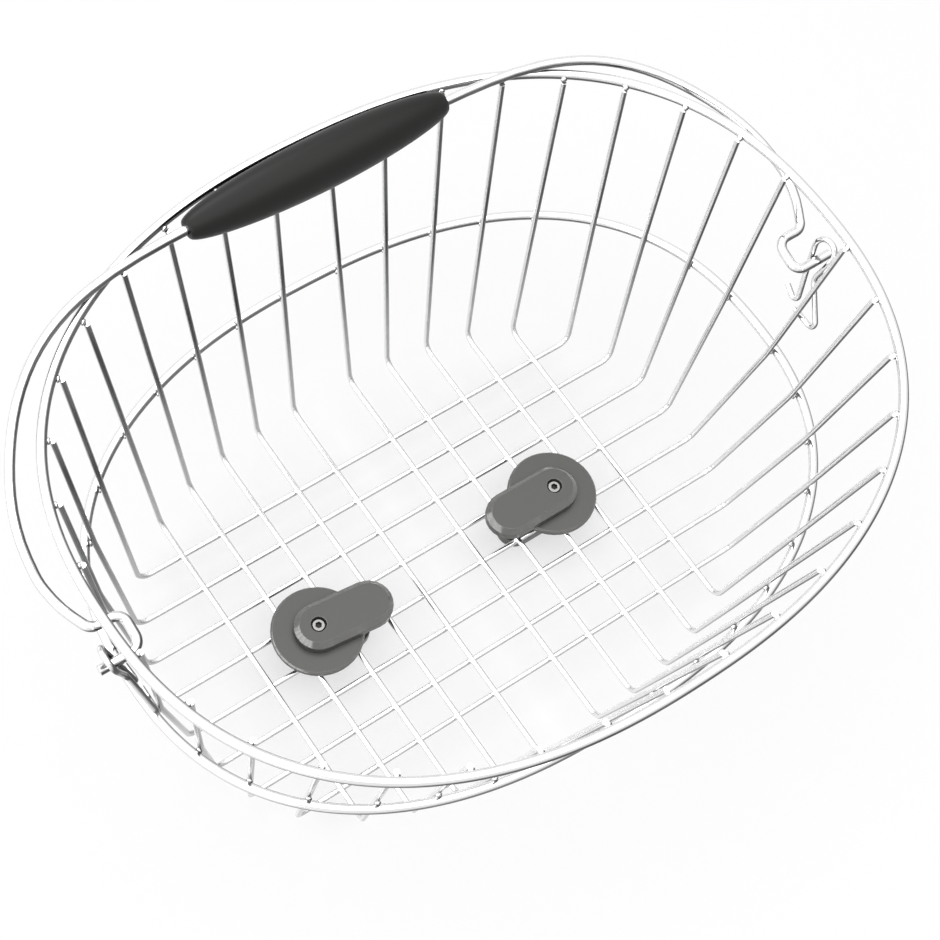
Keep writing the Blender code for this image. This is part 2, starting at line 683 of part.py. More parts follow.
def build_clamps(plastic, steel):
    """Both clamps: the fixed disc on the floor, and the lever, claw, screw and nut that turn as one."""
    disc, lever, claw = disc_mesh(), lever_mesh(), claw_mesh()
    screw, nut = screw_mesh(), nut_mesh()
    for side, sign, shift, turn in SIDES:
        spot = clamp_place(sign, shift)
        place(f"{side}_clamp_disc", disc, plastic).location = spot
        turn_axis = axis_empty(f"{side}_clamp_axis", spot, turn)
        place(f"{side}_clamp_lever", lever, plastic, turn_axis)
        place(f"{side}_clamp_claw", claw, plastic, turn_axis)
        place(f"{side}_clamp_screw", screw, steel, turn_axis)
        place(f"{side}_clamp_nut", nut, steel, turn_axis)


def main():
    """Clear the scene and build every piece."""
    for old in list(bpy.data.objects):
        bpy.data.objects.remove(old)
    silver = material("bright_wire", (0.80, 0.80, 0.81), 1.0, 0.22)
    black = material("soft_black_grip", (0.018, 0.018, 0.019), 0.0, 0.55)
    grey = material("grey_clamp_plastic", (0.145, 0.143, 0.135), 0.0, 0.5)
    steel = material("screw_steel", (0.62, 0.62, 0.63), 1.0, 0.3)
    build_floor_and_walls(silver)
    build_handle_eyes(silver)
    handle_axis = axis_empty("handle_axis", PIVOT)
    grip_z = resting_height()
    build_bail(silver, handle_axis, grip_z)
    build_grip(black, handle_axis, grip_z)
    build_clamps(grey, steel)


RIM_LOOP = oval(RIM, RING_POINTS)
MID_LOOP = oval(MID, RING_POINTS)
main()
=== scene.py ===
"""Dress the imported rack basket: plated wire, welds, soft grip, moulded clamps, stage and camera."""

from math import ceil, cos, pi, radians, sin
from typing import NamedTuple

import bmesh
import bpy
import numpy as np
from bpy.props import FloatProperty, FloatVectorProperty, IntProperty, PointerProperty
from bpy.types import Operator, Panel, PropertyGroup
from mathutils import Matrix, Vector


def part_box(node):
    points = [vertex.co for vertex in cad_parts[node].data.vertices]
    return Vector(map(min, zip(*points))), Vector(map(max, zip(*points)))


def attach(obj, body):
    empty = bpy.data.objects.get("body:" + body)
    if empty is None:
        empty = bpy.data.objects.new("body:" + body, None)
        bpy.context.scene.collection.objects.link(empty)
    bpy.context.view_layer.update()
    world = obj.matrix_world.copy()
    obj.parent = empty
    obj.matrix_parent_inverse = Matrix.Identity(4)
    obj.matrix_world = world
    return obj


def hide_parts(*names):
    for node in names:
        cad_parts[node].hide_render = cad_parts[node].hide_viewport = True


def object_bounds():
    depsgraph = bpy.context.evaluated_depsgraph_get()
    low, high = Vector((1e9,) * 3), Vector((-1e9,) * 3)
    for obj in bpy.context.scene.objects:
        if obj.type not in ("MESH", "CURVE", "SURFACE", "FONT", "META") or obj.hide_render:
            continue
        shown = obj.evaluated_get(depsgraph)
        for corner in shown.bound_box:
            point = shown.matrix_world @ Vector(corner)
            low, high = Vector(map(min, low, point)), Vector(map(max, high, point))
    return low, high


bl_info = {
    "name": "Rack basket finish",
    "version": (1, 0, 0),
    "blender": (4, 5, 0),
    "location": "View3D > Sidebar > Basket",
    "description": "Builds the plated wires, welds, grip, clamps and stage of an oval rack basket",
    "category": "Object",
}

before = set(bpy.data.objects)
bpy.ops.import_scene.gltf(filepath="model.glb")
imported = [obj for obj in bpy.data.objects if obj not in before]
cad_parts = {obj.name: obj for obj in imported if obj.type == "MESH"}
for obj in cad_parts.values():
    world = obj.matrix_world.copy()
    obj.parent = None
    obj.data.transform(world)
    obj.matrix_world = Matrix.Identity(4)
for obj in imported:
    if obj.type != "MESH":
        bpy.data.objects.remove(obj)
CAD_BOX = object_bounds()
SIDES = ("left", "right")
FLOOR_WIRES = [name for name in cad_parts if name.startswith(("cross_wire", "long_wire"))]
RINGS = ("rim_ring", "mid_ring")
EYES = ("left_handle_eye", "right_handle_eye")

# Lengths below this count as nothing
MERGE = 1e-5

# Rings: facets round the CAD rings, facets added round the swept ones, and finer steps along them
CAD_RING_SIDES = 8
RING_MORE_SIDES = 8
RING_FINER = 4.0
RING_SEARCH_FINER = 8.0

# Weld beads and moulded pieces: detail of a bead, clean-up of flat faces, softened edges, and how
# far a sloping face looks up
BEAD_SUBDIVISIONS = 2
FLAT_ANGLE = radians(1.0)
EDGE_SEGMENTS = 2
FLAT_FACE_WEIGHT = 100
SLOPE_STEEP, SLOPE_LEVEL = 0.25, 0.96

# How a finish varies: detail of its noises, their middle, and the spread of tone and roughness
BLOTCH_DETAIL, GRAIN_DETAIL = 3.0, 2.0
NOISE_MIDDLE = 0.5
DARK_TONE, LIGHT_TONE = 0.80, 1.20
ROUGHNESS_SPREAD = 0.8

# Painted shade on the plating: where it gives way to bright plating, and its clouds
PAINTED_SHADE_ENDS, PLATING_STARTS = 0.12, 0.46
CLOUD_SCALE, CLOUD_DETAIL = 28.0, 1.0
CLOUD_FROM, CLOUD_TO = 0.3, 0.7
CLOUD_DARK, CLOUD_LIGHT = 0.65, 1.45

FLOOR_ROUGHNESS = 0.9
SENSOR_WIDTH = 36.0


class Finish(NamedTuple):
    """How a surface answers light, and how it varies."""
    metallic: float
    roughness: float
    blotch_scale: float
    grain_scale: float
    contrast: float
    bump: float
    depth: float
    gloss: float = 0.5


PLATING = Finish(metallic=1.0, roughness=0.17, blotch_scale=60.0, grain_scale=700.0,
                 contrast=0.4, bump=0.06, depth=0.00003)
SOFT_SLEEVE = Finish(metallic=0.0, roughness=0.42, blotch_scale=25.0, grain_scale=3000.0,
                     contrast=0.5, bump=0.25, depth=0.00006, gloss=0.20)
MOULDING = Finish(metallic=0.0, roughness=0.36, blotch_scale=70.0, grain_scale=2600.0,
                  contrast=0.35, bump=0.25, depth=0.00006, gloss=0.45)
# Glossy finish of the sloping clamp edges; their lighter colour is a painted highlight
GLOSSY_EDGE = Finish(metallic=0.0, roughness=0.15, blotch_scale=90.0, grain_scale=1200.0,
                     contrast=0.6, bump=0.05, depth=0.00004, gloss=1.0)
ZINC = Finish(metallic=1.0, roughness=0.26, blotch_scale=300.0, grain_scale=4000.0,
              contrast=0.5, bump=0.15, depth=0.00004)
# Rougher zinc for the screw sockets, whose dark colour is painted shade
ROUGH_ZINC = ZINC._replace(roughness=0.5)


class Lamp(NamedTuple):
    """Place, aim and size of an area light, in metres."""
    place: tuple
    target: tuple
    width: float
    height: float


OVERHEAD = Lamp(place=(-0.15, 0.05, 1.75), target=(0.0, 0.0, 0.1), width=3.0, height=3.0)
CARD = Lamp(place=(-1.84, 0.22, 0.64), target=(0.0, 0.0, 0.05), width=4.4, height=1.0)
SHEEN = Lamp(place=(-0.20, 1.40, 1.27), target=(0.0, 0.15, 0.15), width=1.6, height=0.6)


class BasketWireSettings(PropertyGroup):
    """Sizes, finish and painted shade of the plated steel wire."""
    thin: FloatProperty(
        name="Thin wire", description="Diameter of floor and wall wires",
        default=0.003, unit="LENGTH")
    thick: FloatProperty(
        name="Thick wire", description="Diameter of the rings and the bail",
        default=0.005, unit="LENGTH")
    sides: IntProperty(
        name="Sides", description="Facets round a wire", default=16, min=6)
    bend_step: FloatProperty(
        name="Bend step", description="Largest turn between two points of a bend",
        default=radians(6.0), subtype="ANGLE")
    cap_angle: FloatProperty(
        name="Cap corner", description="Least angle missing at a corner of a cut end",
        default=radians(28.0), subtype="ANGLE")
    colour: FloatVectorProperty(
        name="Plating", description="Colour of the bright plating",
        default=(0.82, 0.82, 0.824), subtype="COLOR")
    # Painted shade: a dark colour on the sides of the wire facing away from the light, lighter near
    # the floor
    painted_shade: FloatVectorProperty(
        name="Painted shade", description="Colour of the painted shade on the sides facing away from the light",
        default=(0.095, 0.095, 0.096), subtype="COLOR")
    painted_shade_low: FloatVectorProperty(
        name="Painted shade low down", description="Lighter colour of the painted shade near the floor",
        default=(0.50, 0.50, 0.502), subtype="COLOR")
    painted_shade_top: FloatProperty(
        name="Painted shade height", description="Height above which the painted shade is at its darkest",
        default=0.11, unit="LENGTH")
    painted_light: FloatVectorProperty(
        name="Painted light side", description="Direction of the side painted as lit",
        default=(-0.546, 0.354, 0.751), subtype="DIRECTION")
    weld_spread: FloatProperty(
        name="Weld spread", description="Radius of a weld along the wires",
        default=0.0018, unit="LENGTH")
    weld_depth: FloatProperty(
        name="Weld depth", description="Half thickness of a weld between two wires",
        default=0.0011, unit="LENGTH")


class BasketGripSettings(PropertyGroup):
    """Sizes and colour of the handle's soft sleeve."""
    length: FloatProperty(
        name="Length", description="Length of the sleeve", default=0.148, unit="LENGTH")
    girth: FloatProperty(
        name="Middle", description="Diameter at the middle", default=0.027, unit="LENGTH")
    end: FloatProperty(
        name="End", description="Diameter at the ends", default=0.0095, unit="LENGTH")
    swell: FloatProperty(
        name="Swell", description="Fullness of the spindle", default=0.62)
    stations: IntProperty(
        name="Stations", description="Rings along the sleeve", default=97, min=9)
    sides: IntProperty(
        name="Sides", description="Facets round the sleeve", default=48, min=12)
    colour: FloatVectorProperty(
        name="Grip", description="Colour of the soft sleeve",
        default=(0.0105, 0.0108, 0.0098), subtype="COLOR")


class BasketClampSettings(PropertyGroup):
    """Edges and colours of the clamps."""
    edge: FloatProperty(
        name="Edge", description="Width of the softened moulded edges",
        default=0.0003, unit="LENGTH")
    edge_angle: FloatProperty(
        name="Edge angle", description="Least angle of an edge that is softened",
        default=radians(35.0), subtype="ANGLE")
    chamfer: FloatProperty(
        name="Chamfer", description="Height of the levers' chamfer",
        default=0.003, unit="LENGTH")
    plastic: FloatVectorProperty(
        name="Plastic", description="Colour of the moulded clamps",
        default=(0.080, 0.079, 0.074), subtype="COLOR")
    # Painted highlight: a lighter colour on the sloping edges of levers and discs
    edge_highlight: FloatVectorProperty(
        name="Edge highlight", description="Lighter colour of the levers' and discs' sloping edges, a painted highlight",
        default=(0.105, 0.104, 0.098), subtype="COLOR")
    steel: FloatVectorProperty(
        name="Screw", description="Colour of the screws and nuts",
        default=(0.22, 0.218, 0.212), subtype="COLOR")
    # Painted shade: the inside of the screw sockets is coloured darker than the steel
    socket: FloatVectorProperty(
        name="Socket", description="Colour inside the screws' hexagon sockets",
        default=(0.035, 0.034, 0.032), subtype="COLOR")
    socket_width: FloatProperty(
        name="Socket width", description="Width over the corners of the hexagon sockets",
        default=0.0037, unit="LENGTH")


class BasketStageSettings(PropertyGroup):
    """Camera, floor and light."""
    place: FloatVectorProperty(
        name="Camera", description="Place of the camera",
        default=(-0.367, -0.319, 1.050), subtype="TRANSLATION", unit="LENGTH")
    heading: FloatProperty(
        name="Heading", description="Camera heading from +Y towards +X",
        default=radians(49.165), subtype="ANGLE")
    dip: FloatProperty(
        name="Dip", description="Camera angle below the horizon",
        default=radians(62.484), subtype="ANGLE")
    roll: FloatProperty(
        name="Roll", description="Camera roll", default=radians(-15.881), subtype="ANGLE")
    lens: FloatProperty(
        name="Lens", description="Focal length on a 36 mm frame in millimetres", default=81.31)
    floor: FloatVectorProperty(
        name="Floor", description="Colour of the floor",
        default=(0.93, 0.93, 0.93), subtype="COLOR")
    paper: FloatProperty(
        name="Paper white", description="Share of plain white in the floor round the object",
        default=0.6)
    shade_start: FloatProperty(
        name="Shade start", description="Distance from which the floor turns whiter",
        default=0.5, unit="LENGTH")
    shade_reach: FloatProperty(
        name="Shade reach", description="Distance at which the floor is plain white",
        default=2.0, unit="LENGTH")
    floor_size: FloatProperty(
        name="Floor size", description="Width of the floor", default=14.0, unit="LENGTH")
    fill: FloatProperty(
        name="Fill", description="Strength of the sky that lights the object", default=0.36)
    key: FloatProperty(
        name="Key", description="Power of the overhead soft light in watts", default=41.0)
    card: FloatProperty(
        name="Card", description="Power of the light card seen in reflections in watts",
        default=40.0)
    sheen: FloatProperty(
        name="Sheen", description="Power of the rear light card seen in the grip in watts",
        default=12.0)


def node_tree(name, kind, inputs, outputs):
    """An empty node group with named sockets, and its input and output nodes."""
    tree = bpy.data.node_groups.new(name, kind)
    for label, socket in inputs:
        tree.interface.new_socket(label, in_out="INPUT", socket_type=f"NodeSocket{socket}")
    for label, socket in outputs:
        tree.interface.new_socket(label, in_out="OUTPUT", socket_type=f"NodeSocket{socket}")
    return tree, tree.nodes.new("NodeGroupInput"), tree.nodes.new("NodeGroupOutput")


def new_node(tree, kind, values=None, **options):
    """A new node with its options and the constants of its sockets set."""
    made = tree.nodes.new(kind)
    for option, choice in options.items():
        setattr(made, option, choice)
    for socket, value in (values or {}).items():
        made.inputs[socket].default_value = value
    return made


def chain(tree, *links):
    """Join sockets given as (node, output, node, input)."""
    for source, output, target, entry in links:
        tree.links.new(source.outputs[output], target.inputs[entry])


def linked(name, data):
    """A new object for a mesh, a light or a camera, linked to the scene."""
    made = bpy.data.objects.new(name, data)
    bpy.context.scene.collection.objects.link(made)
    return made


def finished_mesh(start):
    """The mesh of an object with its modifiers applied. The object itself is removed."""
    graph = bpy.context.evaluated_depsgraph_get()
    made = bpy.data.meshes.new_from_object(
        start.evaluated_get(graph), preserve_all_data_layers=True, depsgraph=graph)
    bpy.data.objects.remove(start)
    return made


def with_nodes(name, mesh, tree, **values):
    """A plain mesh made by a Geometry Nodes tree from a starting mesh."""
    start = linked(name, mesh)
    change = start.modifiers.new(name, "NODES")
    change.node_group = tree
    items = tree.interface.items_tree
    sockets = {item.name: item.identifier for item in items if item.in_out == "INPUT"}
    for label, value in values.items():
        change[sockets[label.capitalize()]] = value
    made = finished_mesh(start)
    made.name = name
    return made


def piece(name, mesh, body, slot, *nodes):
    """Link a finished mesh, let it ride on its body and stand for its CAD nodes."""
    made = linked(name, mesh)
    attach(made, body)
    if nodes:
        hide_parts(*nodes)


def merged(node):
    """A merged copy of a CAD node as a bmesh."""
    mesh = bmesh.new()
    mesh.from_mesh(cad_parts[node].data)
    bmesh.ops.remove_doubles(mesh, verts=mesh.verts, dist=MERGE)
    mesh.verts.index_update()
    return mesh


def layers(first, barred=()):
    """Rings of vertices in order along a tube. The first step leaves the barred vertices out."""
    seen = {vert.index for vert in first}
    ring = list(first)
    rings = []
    while ring:
        rings.append(ring)
        found = {}
        for vert in ring:
            for edge in vert.link_edges:
                other = edge.other_vert(vert)
                if other.index not in seen and other.index not in barred:
                    found[other.index] = other
        barred = ()
        seen.update(found)
        ring = [found[k] for k in sorted(found)]
    return rings


def ring_centres(rings):
    """The middle of each ring of vertices."""
    return [sum((vert.co for vert in ring), Vector()) / len(ring) for ring in rings]


def missing_angle(vert):
    """How far the face corners at a vertex fall short of a full turn."""
    return 2.0 * pi - sum(loop.calc_angle() for loop in vert.link_loops)


def centre_line(node, cap_angle):
    """Centre line of an open CAD wire, found from its rings of vertices."""
    mesh = merged(node)
    corners = [vert for vert in mesh.verts if missing_angle(vert) > cap_angle]
    start = corners[0].co
    far = max((vert.co - start).length for vert in corners)
    cap = [vert for vert in corners if (vert.co - start).length < far / 2.0]
    path = ring_centres(layers(cap))
    mesh.free()
    return path


def ring_line(node):
    """Centre line of a closed CAD ring, counter-clockwise from +X."""
    mesh = merged(node)
    at_side = [vert for vert in mesh.verts if vert.co.x > 0.0]
    first = sorted(at_side, key=lambda vert: abs(vert.co.y))[:CAD_RING_SIDES]
    barred = {vert.index for vert in mesh.verts if vert.co.y < 0.0 and vert not in first}
    path = ring_centres(layers(first, barred))
    mesh.free()
    return path


def smooth_path(path, step, closed=False):
    """A finer path through the same points: straight runs stay straight and bends become round."""
    count = len(path)
    spans = count if closed else count - 1
    runs = [path[(k + 1) % count] - path[k] for k in range(spans)]
    tangents = []
    for k in range(count):
        before = runs[k - 1] if closed or k > 0 else runs[0]
        after = runs[k] if k < spans else runs[-1]
        tangents.append((before * before.length + after * after.length).normalized())
    fine = []
    for k, run in enumerate(runs):
        out, into = tangents[k], tangents[(k + 1) % count]
        turn = max(run.angle(out), run.angle(into)) * 2.0
        steps = max(1, ceil(turn / step))
        for n in range(steps):
            t = n / steps
            bend = run.length * t * (1.0 - t)
            curve = path[k] + run * (t * t * (3.0 - 2.0 * t))
            fine.append(curve + out * (bend * (1.0 - t)) - into * (bend * t))
    return fine if closed else [*fine, path[-1]]


def path_mesh(name, path, closed=False):
    """A chain of edges along a path."""
    edges = [(k, k + 1) for k in range(len(path) - 1)]
    if closed:
        edges.append((len(path) - 1, 0))
    mesh = bpy.data.meshes.new(name)
    mesh.from_pydata([tuple(point) for point in path], edges, [])
    return mesh


def closing_nodes(tree, entry, out, source, output):
    """Smooth what a tree has made, realize it and give it its finish."""
    smooth = new_node(tree, "GeometryNodeSetShadeSmooth")
    real = new_node(tree, "GeometryNodeRealizeInstances")
    finish = new_node(tree, "GeometryNodeSetMaterial")
    chain(
        tree,
        (source, output, smooth, "Geometry"),
        (smooth, "Geometry", real, "Geometry"),
        (real, "Geometry", finish, "Geometry"),
        (entry, "Finish", finish, "Material"),
        (finish, "Geometry", out, 0),
    )


def swept_wire_tree():
    """Geometry Nodes: a round wire along a chain of edges."""
    tree, entry, out = node_tree(
        "swept wire", "GeometryNodeTree",
        (("Path", "Geometry"), ("Diameter", "Float"), ("Sides", "Int"), ("Finish", "Material")),
        (("Wire", "Geometry"),))
    line = new_node(tree, "GeometryNodeMeshToCurve")
    half = new_node(tree, "ShaderNodeMath", {1: 0.5}, operation="MULTIPLY")
    section = new_node(tree, "GeometryNodeCurvePrimitiveCircle")
    sweep = new_node(tree, "GeometryNodeCurveToMesh", {"Fill Caps": True})
    chain(
        tree,
        (entry, "Path", line, "Mesh"),
        (entry, "Diameter", half, 0),
        (half, 0, section, "Radius"),
        (entry, "Sides", section, "Resolution"),
        (line, "Curve", sweep, "Curve"),
        (section, "Curve", sweep, "Profile Curve"),
    )
    closing_nodes(tree, entry, out, sweep, "Mesh")
    return tree


def weld_tree():
    """Geometry Nodes: a small flattened bead at every point, turned by the point's own facing."""
    tree, entry, out = node_tree(
        "weld beads", "GeometryNodeTree",
        (("Points", "Geometry"), ("Spread", "Float"), ("Depth", "Float"), ("Finish", "Material")),
        (("Beads", "Geometry"),))
    points = new_node(tree, "GeometryNodeMeshToPoints")
    bead = new_node(tree, "GeometryNodeMeshIcoSphere",
                    {"Radius": 1.0, "Subdivisions": BEAD_SUBDIVISIONS})
    size = new_node(tree, "ShaderNodeCombineXYZ")
    facing = new_node(tree, "GeometryNodeInputNamedAttribute", {"Name": "facing"},
                      data_type="FLOAT_VECTOR")
    turn = new_node(tree, "FunctionNodeAlignRotationToVector", axis="Z")
    spread = new_node(tree, "GeometryNodeInstanceOnPoints")
    chain(
        tree,
        (entry, "Points", points, "Mesh"),
        (points, "Points", spread, "Points"),
        (bead, "Mesh", spread, "Instance"),
        (entry, "Spread", size, "X"),
        (entry, "Spread", size, "Y"),
        (entry, "Depth", size, "Z"),
        (size, "Vector", spread, "Scale"),
        (facing, "Attribute", turn, "Vector"),
        (turn, "Rotation", spread, "Rotation"),
    )
    closing_nodes(tree, entry, out, spread, "Instances")
    return tree


def spindle_tree():
    """Geometry Nodes: a sleeve along a path, as thick at each point as the point's own girth."""
    tree, entry, out = node_tree(
        "spindle sleeve", "GeometryNodeTree",
        (("Path", "Geometry"), ("Sides", "Int"), ("Finish", "Material")),
        (("Sleeve", "Geometry"),))
    line = new_node(tree, "GeometryNodeMeshToCurve")
    girth = new_node(tree, "GeometryNodeInputNamedAttribute", {"Name": "girth"}, data_type="FLOAT")
    section = new_node(tree, "GeometryNodeCurvePrimitiveCircle", {"Radius": 1.0})
    sweep = new_node(tree, "GeometryNodeCurveToMesh", {"Fill Caps": True})
    chain(
        tree,
        (entry, "Path", line, "Mesh"),
        (line, "Curve", sweep, "Curve"),
        (girth, "Attribute", sweep, "Scale"),
        (entry, "Sides", section, "Resolution"),
        (section, "Curve", sweep, "Profile Curve"),
    )
    closing_nodes(tree, entry, out, sweep, "Mesh")
    return tree


def surface_group():
    """Shader group: a mask of broad blotches about nought, and a fine grain."""
    tree, entry, out = node_tree(
        "surface variation", "ShaderNodeTree",
        (("Blotch scale", "Float"), ("Grain scale", "Float"), ("Contrast", "Float")),
        (("Mask", "Float"), ("Grain", "Float")))
    place = new_node(tree, "ShaderNodeTexCoord")
    blotch = new_node(tree, "ShaderNodeTexNoise", {"Detail": BLOTCH_DETAIL})
    grain = new_node(tree, "ShaderNodeTexNoise", {"Detail": GRAIN_DETAIL})
    spread = new_node(tree, "ShaderNodeMath", {1: NOISE_MIDDLE}, operation="SUBTRACT")
    share = new_node(tree, "ShaderNodeMath", operation="MULTIPLY")
    chain(
        tree,
        (place, "Object", blotch, "Vector"),
        (place, "Object", grain, "Vector"),
        (entry, "Blotch scale", blotch, "Scale"),
        (entry, "Grain scale", grain, "Scale"),
        (blotch, 0, spread, 0),
        (spread, 0, share, 0),
        (entry, "Contrast", share, 1),
        (share, 0, out, "Mask"),
        (grain, 0, out, "Grain"),
    )
    return tree


def tone_ramp(tree, colour, dark, light, start=0.0, end=1.0):
    """A colour ramp between a darker and a lighter share of one colour."""
    made = new_node(tree, "ShaderNodeValToRGB")
    low, high = made.color_ramp.elements
    low.position, high.position = start, end
    low.color = (*(min(1.0, part * dark) for part in colour), 1.0)
    high.color = (*(min(1.0, part * light) for part in colour), 1.0)
    return made


def finish_material(name, colour, finish):
    """A Principled material whose colour, roughness and relief vary over the surface."""
    made = bpy.data.materials.new(name)
    made.use_nodes = True
    tree = made.node_tree
    shader = tree.nodes["Principled BSDF"]
    shader.inputs["Metallic"].default_value = finish.metallic
    shader.inputs["Specular IOR Level"].default_value = finish.gloss
    vary = tree.nodes.new("ShaderNodeGroup")
    vary.node_tree = bpy.data.node_groups.get("surface variation") or surface_group()
    vary.inputs["Blotch scale"].default_value = finish.blotch_scale
    vary.inputs["Grain scale"].default_value = finish.grain_scale
    vary.inputs["Contrast"].default_value = finish.contrast
    tone = new_node(tree, "ShaderNodeMath", {1: NOISE_MIDDLE}, operation="ADD")
    ramp = tone_ramp(tree, colour, DARK_TONE, LIGHT_TONE)
    matte = new_node(tree, "ShaderNodeMath",
                     {1: finish.roughness * ROUGHNESS_SPREAD, 2: finish.roughness},
                     operation="MULTIPLY_ADD")
    relief = new_node(tree, "ShaderNodeBump", {"Strength": finish.bump, "Distance": finish.depth})
    chain(
        tree,
        (vary, "Mask", tone, 0),
        (tone, 0, ramp, "Fac"),
        (ramp, "Color", shader, "Base Color"),
        (vary, "Mask", matte, 0),
        (matte, 0, shader, "Roughness"),
        (vary, "Grain", relief, "Height"),
        (relief, "Normal", shader, "Normal"),
    )
    return made


def plated_wire():
    """Bright plating on drawn steel wire, with painted shade on the sides away from the light."""
    made = bpy.data.materials.get("bright plated wire")
    if made:
        return made
    wires = bpy.context.scene.basket_wire
    made = finish_material("bright plated wire", wires.colour, PLATING)
    tree = made.node_tree
    shader = tree.nodes["Principled BSDF"]
    clean = shader.inputs["Base Color"].links[0].from_socket
    place = new_node(tree, "ShaderNodeTexCoord")
    # Painted shade: sides facing away from the light direction take the dark colour
    facing = new_node(tree, "ShaderNodeVectorMath", {1: wires.painted_light}, operation="DOT_PRODUCT")
    bright = new_node(tree, "ShaderNodeMapRange",
                      {"From Min": PAINTED_SHADE_ENDS, "From Max": PLATING_STARTS},
                      interpolation_type="SMOOTHSTEP")
    cloud = new_node(tree, "ShaderNodeTexNoise", {"Scale": CLOUD_SCALE, "Detail": CLOUD_DETAIL})
    painted_shade = tone_ramp(tree, wires.painted_shade, CLOUD_DARK, CLOUD_LIGHT, CLOUD_FROM, CLOUD_TO)
    axes = new_node(tree, "ShaderNodeSeparateXYZ")
    # The painted shade turns lighter towards the floor
    low_down = new_node(tree, "ShaderNodeMapRange", {"From Min": wires.painted_shade_top, "From Max": 0.0})
    thin = new_node(tree, "ShaderNodeMixRGB", {"Color2": (*wires.painted_shade_low, 1.0)})
    shaded = new_node(tree, "ShaderNodeMixRGB")
    chain(
        tree,
        (place, "Object", axes, "Vector"),
        (axes, "Z", low_down, "Value"),
        (low_down, "Result", thin, "Fac"),
        (painted_shade, "Color", thin, "Color1"),
        (place, "Normal", facing, 0),
        (facing, "Value", bright, "Value"),
        (bright, "Result", shaded, "Fac"),
        (place, "Object", cloud, "Vector"),
        (cloud, 0, painted_shade, "Fac"),
        (thin, "Color", shaded, "Color1"),
        (shaded, "Color", shader, "Base Color"),
    )
    tree.links.new(clean, shaded.inputs["Color2"])
    return made


def sweep_wire(name, path, diameter, sides, body, closed=False):
    """Sweep one wire along its path in place of its CAD node."""
    tree = bpy.data.node_groups.get("swept wire") or swept_wire_tree()
    mesh = with_nodes(f"{name}_plated", path_mesh(name, path, closed), tree,
                      diameter=diameter, sides=sides, finish=plated_wire())
    piece(f"{name}_plated", mesh, body, "bright_wire", name)


def open_wires(names, diameter, body):
    """Sweep each open wire of a list along its CAD centre line."""
    wires = bpy.context.scene.basket_wire
    for name in names:
        path = smooth_path(centre_line(name, wires.cap_angle), wires.bend_step)
        sweep_wire(name, path, diameter, wires.sides, body)


class BASKET_OT_wires(Operator):
    """Sweep the floor and wall wires along their bends"""
    bl_idname = "basket.wires"
    bl_label = "Floor and wall wires"

    def execute(self, context):
        open_wires(FLOOR_WIRES, context.scene.basket_wire.thin, "basket")
        return {"FINISHED"}


class BASKET_OT_rings(Operator):
    """Sweep the rim ring and the middle ring"""
    bl_idname = "basket.rings"
    bl_label = "Rings"

    def execute(self, context):
        wires = context.scene.basket_wire
        sides = wires.sides + RING_MORE_SIDES
        for name in RINGS:
            path = smooth_path(ring_line(name), wires.bend_step / RING_FINER, closed=True)
            sweep_wire(name, path, wires.thick, sides, "basket", closed=True)
        return {"FINISHED"}


def floor_beads(lines):
    """Places and facings of the welds where the long wires lie on the cross wires."""
    floor = {}
    for name, path in lines.items():
        low = min(point.z for point in path)
        run = [point for point in path if point.z < low + MERGE]
        floor[name] = (run[0], run[-1])
    cross = [floor[name] for name in lines if name.startswith("cross")]
    along = [floor[name] for name in lines if name.startswith("long")]
    beads = []
    for start, end in cross:
        for front, back in along:
            on_cross = min(start.x, end.x) < front.x < max(start.x, end.x)
            on_along = min(front.y, back.y) < start.y < max(front.y, back.y)
            if on_cross and on_along:
                place = Vector((front.x, start.y, (start.z + front.z) / 2.0))
                beads.append((place, Vector((0.0, 0.0, 1.0))))
    return beads


def ring_beads(lines, ring, wires):
    """Places and facings of the welds between the uprights and one ring."""
    level = ring[:, 2].mean()
    beads = []
    for path in lines.values():
        for one, two in zip(path, path[1:]):
            top, bottom = max(one.z, two.z), min(one.z, two.z)
            if top < level - wires.thin or bottom > level or top - bottom < wires.thin:
                continue
            spot = one + (two - one) * ((min(level, top) - one.z) / (two.z - one.z))
            nearest = np.linalg.norm(ring - np.array(spot), axis=1).argmin()
            away = Vector(ring[nearest]) - spot
            place = spot + away * (wires.thin / (wires.thin + wires.thick))
            beads.append((place, away.normalized()))
    return beads


class BASKET_OT_welds(Operator):
    """Set a weld bead at every crossing of the floor and every joint with a ring"""
    bl_idname = "basket.welds"
    bl_label = "Welds"

    def execute(self, context):
        wires = context.scene.basket_wire
        lines = {name: centre_line(name, wires.cap_angle) for name in FLOOR_WIRES}
        beads = floor_beads(lines)
        for name in RINGS:
            ring = smooth_path(ring_line(name), wires.bend_step / RING_SEARCH_FINER, closed=True)
            beads += ring_beads(lines, np.array([tuple(point) for point in ring]), wires)
        points = path_mesh("weld_places", [place for place, _ in beads])
        points.attributes.new("facing", "FLOAT_VECTOR", "POINT").data.foreach_set(
            "vector", [value for _, facing in beads for value in facing])
        mesh = with_nodes("weld_beads", points, weld_tree(), spread=wires.weld_spread,
                          depth=wires.weld_depth, finish=plated_wire())
        piece("weld_beads", mesh, "basket", "bright_wire")
        return {"FINISHED"}


class BASKET_OT_handle(Operator):
    """Sweep the hooked bail and the two bent eyes that carry it"""
    bl_idname = "basket.handle"
    bl_label = "Bail and eyes"

    def execute(self, context):
        wires = context.scene.basket_wire
        open_wires(("handle_bail",), wires.thick, "handle")
        open_wires(EYES, wires.thin, "basket")
        return {"FINISHED"}


def points_at(path, reach, stops):
    """Points at some distances along a path, whose own points have their distances in reach."""
    return np.stack([np.interp(stops, reach, axis) for axis in path.T], axis=1)


